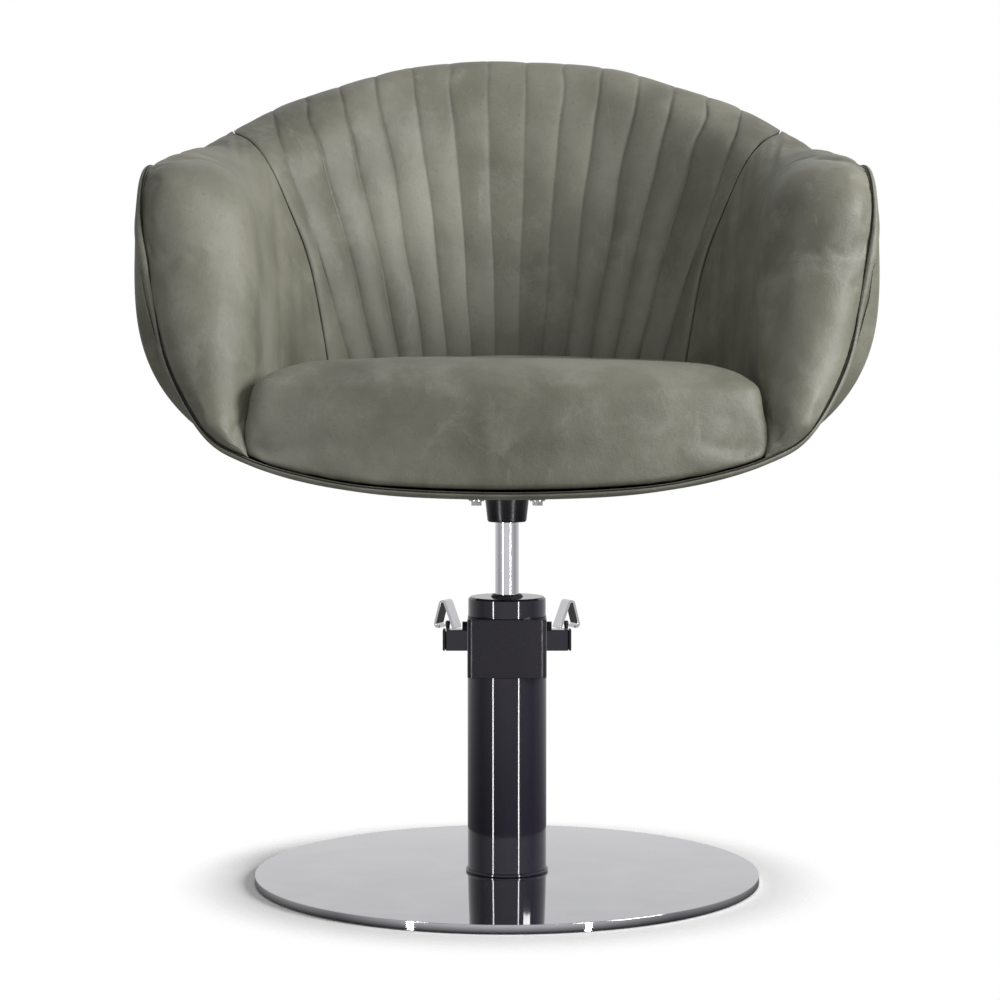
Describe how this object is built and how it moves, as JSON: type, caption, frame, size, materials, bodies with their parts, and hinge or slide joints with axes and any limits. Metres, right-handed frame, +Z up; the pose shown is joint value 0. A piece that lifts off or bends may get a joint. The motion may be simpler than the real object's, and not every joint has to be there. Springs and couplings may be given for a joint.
{
  "type": "styling chair",
  "caption": "Round-based hydraulic salon chair with a channelled tub seat, foot pedal, swivel and lift.",
  "frame": {"origin": "on the floor, on the pump's vertical axis, under the round base", "axes": "+Z up along the pump, -Y towards the front of the seat, +X to the viewer's right seen from the front"},
  "size_m": [0.6898, 0.5597, 0.8458],
  "materials": {
    "leather": "soft semi-matte distressed leatherette, sage olive grey",
    "cord": "black satin piping",
    "gloss_black": "high gloss black",
    "chrome": "polished",
    "mirror_steel": "mirror polished stainless steel",
    "steel": "machined",
    "zinc": "zinc plated",
    "zinc_black": "black oxide",
    "rubber": "matte black",
    "bronze": "machined bronze",
    "plywood": "bare birch plywood"
  },
  "bodies": {
    "base": {"floor_pad": "rubber", "base_plate": "steel", "base_cover": "mirror_steel", "base_bolt_1": "zinc", "base_bolt_2": "zinc", "base_bolt_3": "zinc", "base_bolt_4": "zinc", "pump_foot": "steel", "column_tube": "gloss_black", "foot_ring": "gloss_black", "oil_tube": "steel", "cylinder_barrel": "steel", "guide_bush": "bronze", "pump_cap": "gloss_black", "wiper_seal": "rubber", "pump_head": "gloss_black", "release_valve": "zinc_black", "oil_plug": "zinc_black", "pivot_pin": "zinc", "pin_clip_left": "zinc", "pin_clip_right": "zinc", "plunger_spring": "steel"},
    "piston": {"piston_head": "steel", "piston_seal": "rubber"},
    "seat": {"piston_rod": "chrome", "hub_socket": "gloss_black", "mounting_plate": "gloss_black", "backing_plate": "steel", "seat_board": "plywood", "outer_shell": "leather", "seat_bolt_1": "zinc", "seat_bolt_2": "zinc", "seat_bolt_3": "zinc", "seat_bolt_4": "zinc", "washer_1": "zinc", "washer_2": "zinc", "washer_3": "zinc", "washer_4": "zinc", "tee_nut_1": "zinc", "tee_nut_2": "zinc", "tee_nut_3": "zinc", "tee_nut_4": "zinc", "arm_pad_left": "leather", "arm_pad_right": "leather", "back_pad": "leather", "seat_cushion": "leather", "rim_piping": "cord"},
    "pedal": {"pedal_arm": "gloss_black", "pedal_crossbar": "gloss_black", "bar_cap_left": "rubber", "bar_cap_right": "rubber", "toe_loop_left": "chrome", "toe_loop_right": "chrome", "toe_knob_left": "rubber", "toe_knob_right": "rubber"},
    "plunger": {"pump_plunger": "steel"}
  },
  "joints": [
    {"name": "seat_lift", "type": "slide", "parent": "base", "child": "piston", "axis": [0, 0, 1], "range_m": [-0.068, 0.08]},
    {"name": "seat_swivel", "type": "hinge", "parent": "piston", "child": "seat", "pos_m": [0, 0, 0.11], "axis": [0, 0, 1], "continuous": true},
    {"name": "pedal_press", "type": "hinge", "parent": "base", "child": "pedal", "pos_m": [0, 0.064, 0.222], "axis": [-1, 0, 0], "range_deg": [0, 22], "stiffness_Nm_per_rad": 12, "springref_deg": -20.05},
    {"name": "plunger_stroke", "type": "slide", "parent": "base", "child": "plunger", "axis": [0, 0, 1], "range_m": [0, 0.0056], "deforming": ["plunger_spring"]}
  ],
  "couplings": [
    {"joint": "plunger_stroke", "follows": "pedal_press", "m_per_rad": 0.014}
  ]
}
